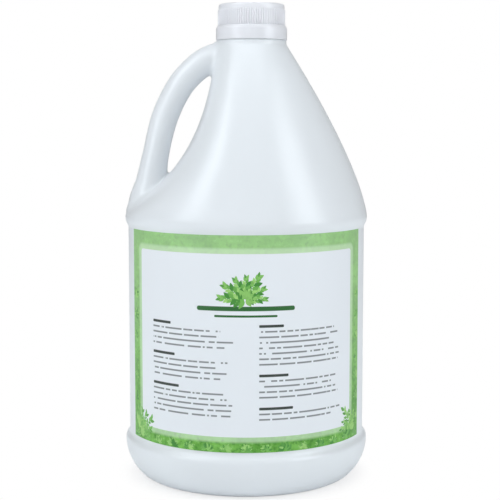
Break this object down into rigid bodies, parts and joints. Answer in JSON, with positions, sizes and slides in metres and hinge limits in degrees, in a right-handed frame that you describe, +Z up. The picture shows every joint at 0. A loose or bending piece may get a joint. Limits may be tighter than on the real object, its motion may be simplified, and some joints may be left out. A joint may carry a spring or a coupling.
{
  "type": "handled oil jug",
  "caption": "Round blow-moulded oil jug with a hollow side handle, a ribbed screw cap, a sealing liner, a tamper-evident band and a wrap label",
  "frame": {"origin": "centre of the jug's foot ring on the floor", "axes": "+Z up along the body axis, handle on the -X side, label faces -Y"},
  "size_m": [0.1572, 0.1572, 0.3025],
  "materials": {
    "jug_plastic": "semi-gloss natural white polyethylene",
    "label_film": "satin printed film",
    "cap_plastic": "semi-gloss white polypropylene",
    "liner_foam": "matt white foam"
  },
  "bodies": {
    "jug": {"jug_body": "jug_plastic", "label": "label_film"},
    "liner": {"cap_liner": "liner_foam"},
    "cap": {"screw_cap": "cap_plastic"},
    "band": {"tamper_band": "cap_plastic"}
  },
  "joints": [
    {"name": "cap_rise", "type": "slide", "parent": "jug", "child": "liner", "axis": [0, 0, 1], "range_m": [0, 0.017]},
    {"name": "cap_turn", "type": "hinge", "parent": "liner", "child": "cap", "pos_m": [0.00345, 0, 0.295], "axis": [0, 0, 1], "range_deg": [0, 1440]},
    {"name": "band_spin", "type": "hinge", "parent": "jug", "child": "band", "pos_m": [0.00345, 0, 0.284], "axis": [0, 0, 1], "continuous": true}
  ],
  "couplings": [
    {"joint": "cap_rise", "follows": "cap_turn", "m_per_rad": 0.00067375}
  ]
}
